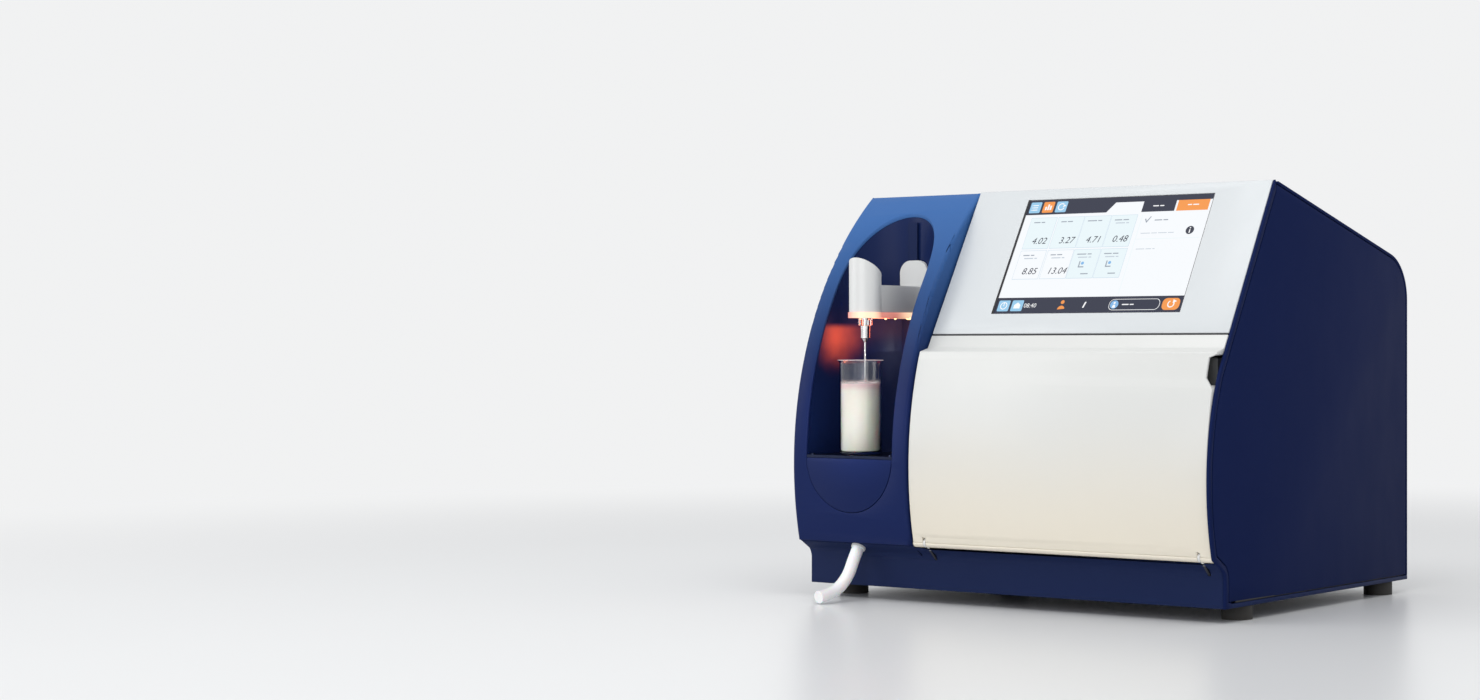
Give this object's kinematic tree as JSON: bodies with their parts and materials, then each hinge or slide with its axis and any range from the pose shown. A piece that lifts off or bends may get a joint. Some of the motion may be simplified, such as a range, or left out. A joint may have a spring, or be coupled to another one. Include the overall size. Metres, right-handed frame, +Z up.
{
  "type": "milk analyzer",
  "caption": "Benchtop milk analyzer with a slanted touch screen, a drop-down service door and a sample niche with a lifting intake needle over a beaker.",
  "frame": {"origin": "on the bench, under the middle of the cabinet's box, with the free drain hose left out", "axes": "+X to the object's right as a user faces it, along its width; +Y to its back; +Z up"},
  "size_m": [0.47, 0.4142, 0.3926],
  "materials": {
    "plastic_navy": "satin navy blue moulding",
    "plastic_blue": "satin bright blue moulding",
    "plastic_white": "satin white moulding",
    "plastic_cream": "satin warm white door moulding",
    "plastic_dark": "matt black moulding",
    "plastic_grey": "grey moulding",
    "liner_navy": "glossy navy liner",
    "display_glass": "touch screen behind its cover glass, lit",
    "steel_brushed": "brushed stainless steel",
    "steel_bright": "polished steel",
    "steel_plate": "zinc plated sheet",
    "aluminium_cast": "bead blasted aluminium",
    "light_pane": "glowing pink orange light plate",
    "clear_plastic": "clear plastic",
    "bottle_plastic": "milky translucent bottle",
    "liquid_clear": "clear reagent",
    "glass_clear": "clear beaker glass",
    "milk": "milk, held as a solid",
    "rubber_dark": "black rubber",
    "silicone": "milky silicone tubing",
    "board_green": "green circuit board",
    "gold_coat": "gold coated source housing",
    "magnet_plate": "nickel plate",
    "door_catch": "steel strike"
  },
  "bodies": {
    "cabinet": {"base_tray": "plastic_navy", "feet": "rubber_dark", "front_frame": "plastic_navy", "sample_module": "plastic_blue", "niche_liner": "liner_navy", "sample_shelf": "steel_brushed", "drip_insert": "plastic_navy", "screen_panel": "plastic_white", "display_glass": "display_glass", "display_gasket": "rubber_dark", "display_module": "plastic_dark", "door_magnets": "magnet_plate", "hinge_brackets": "plastic_white", "hinge_pins": "steel_bright", "top_rear_cover": "plastic_navy", "side_cover_right": "plastic_navy", "side_cover_left": "plastic_navy", "cover_screws": "steel_bright", "chassis": "steel_plate", "bay_liner": "plastic_grey", "pump_head": "plastic_dark", "pump_cover": "clear_plastic", "pump_motor": "steel_plate", "pump_tube": "silicone", "pump_manifold": "plastic_dark", "liquid_bottles": "bottle_plastic", "bottle_liquids": "liquid_clear", "bottle_caps": "plastic_blue", "suction_tubes": "silicone", "inline_filter": "plastic_white", "guide_rail": "aluminium_cast", "optics_base": "aluminium_cast", "optics_isolators": "rubber_dark", "interferometer": "aluminium_cast", "infrared_source": "gold_coat", "flow_cell": "steel_brushed", "detector": "steel_plate", "mainboard": "board_green", "power_supply": "steel_plate", "fan_frame": "plastic_dark", "rear_panel": "steel_plate", "power_entry": "plastic_dark", "data_ports": "steel_brushed", "drain_fitting": "plastic_white", "drain_hose": "silicone"},
    "door": {"door_skin": "plastic_cream", "door_liner": "plastic_grey", "door_strikes": "door_catch"},
    "arm": {"arm_carriage": "plastic_white", "arm_housing": "plastic_white", "light_plate": "light_pane", "needle_collar": "clear_plastic", "needle_chuck": "steel_bright", "intake_needle": "steel_bright"},
    "sample_beaker": {"beaker": "glass_clear", "milk": "milk"},
    "pump_wheel": {"pump_rotor": "steel_plate", "pump_rollers": "plastic_white"},
    "cooling_fan": {"fan_rotor": "plastic_dark"},
    "rocker_switch": {"power_rocker": "plastic_grey"}
  },
  "joints": [
    {"name": "door_hinge", "type": "hinge", "parent": "cabinet", "child": "door", "pos_m": [0, -0.1742, 0.0587], "axis": [1, 0, 0], "range_deg": [0, 90]},
    {"name": "arm_lift", "type": "slide", "parent": "cabinet", "child": "arm", "axis": [0, 0, 1], "range_m": [0, 0.085]},
    {"name": "beaker_slide", "type": "slide", "parent": "cabinet", "child": "sample_beaker", "axis": [0, -1, 0], "range_m": [0, 0.012]},
    {"name": "pump_spin", "type": "hinge", "parent": "cabinet", "child": "pump_wheel", "pos_m": [-0.05, -0.06, 0.14], "axis": [0, 1, 0], "continuous": true},
    {"name": "fan_spin", "type": "hinge", "parent": "cabinet", "child": "cooling_fan", "pos_m": [-0.14, 0.17, 0.19], "axis": [0, 1, 0], "continuous": true},
    {"name": "switch_rock", "type": "hinge", "parent": "cabinet", "child": "rocker_switch", "pos_m": [0.158, 0.17665, 0.066], "axis": [1, 0, 0], "range_deg": [0, 20]}
  ]
}
